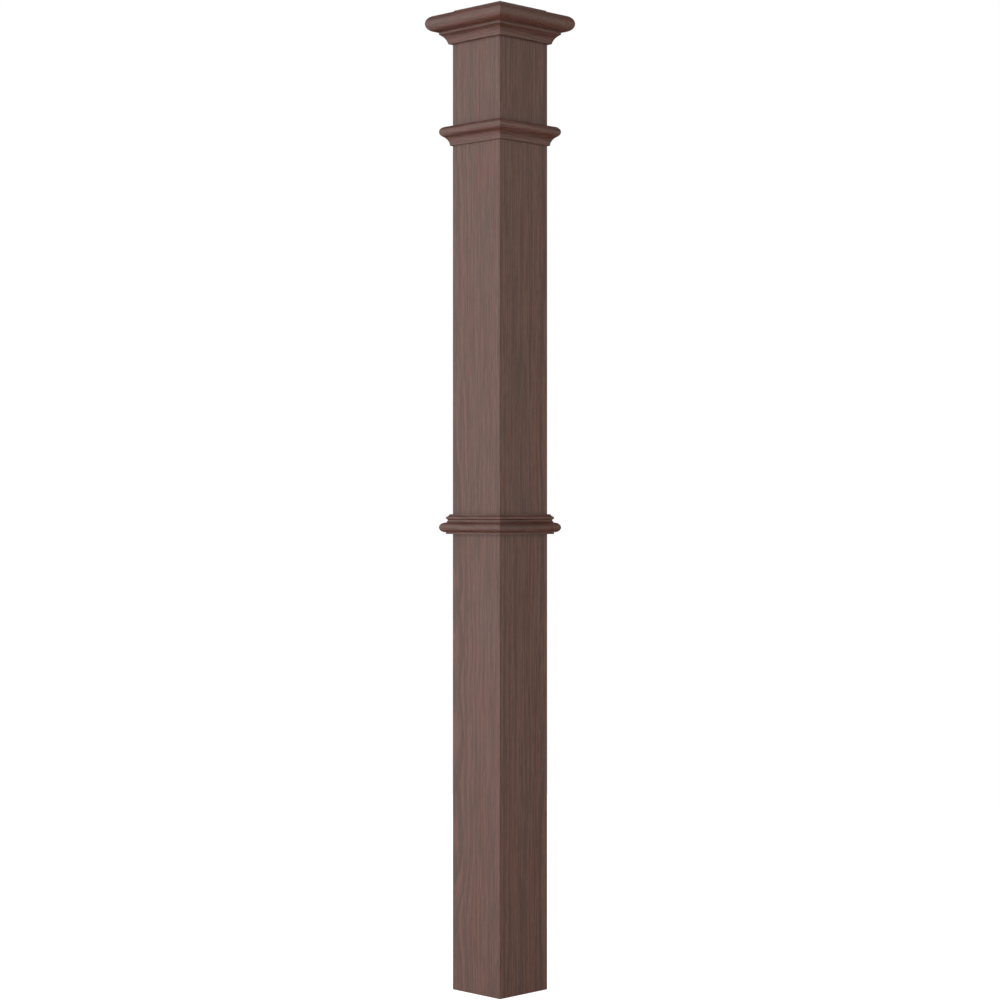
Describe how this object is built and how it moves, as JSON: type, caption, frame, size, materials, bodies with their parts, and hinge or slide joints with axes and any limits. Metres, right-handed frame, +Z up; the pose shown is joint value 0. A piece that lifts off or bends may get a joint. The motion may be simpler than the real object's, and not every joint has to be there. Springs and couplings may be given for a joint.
{
  "type": "newel post",
  "caption": "Tall hollow square box newel post of mitred wood boards, with a moulded collar, a necking band and a wide cap with a rounded edge over a cove moulding.",
  "frame": {"origin": "centre of the square foot of the shaft, on the floor", "axes": "+Z up along the post's axis; X and Y square to the shaft's faces, with the face called front towards -Y"},
  "size_m": [0.202, 0.202, 1.86],
  "materials": {
    "shaft_wood": "satin dark brown stain over straight grain",
    "moulding_wood": "satin dark brown stain, a little redder in the hollows",
    "cap_wood": "satin dark brown stain over straight grain"
  },
  "bodies": {
    "root": {"shaft_board_front": "shaft_wood", "shaft_board_right": "shaft_wood", "shaft_board_back": "shaft_wood", "shaft_board_left": "shaft_wood", "collar_front": "moulding_wood", "collar_right": "moulding_wood", "collar_back": "moulding_wood", "collar_left": "moulding_wood", "necking_front": "moulding_wood", "necking_right": "moulding_wood", "necking_back": "moulding_wood", "necking_left": "moulding_wood", "cap_cove_front": "moulding_wood", "cap_cove_right": "moulding_wood", "cap_cove_back": "moulding_wood", "cap_cove_left": "moulding_wood", "cap": "cap_wood"}
  },
  "joints": []
}
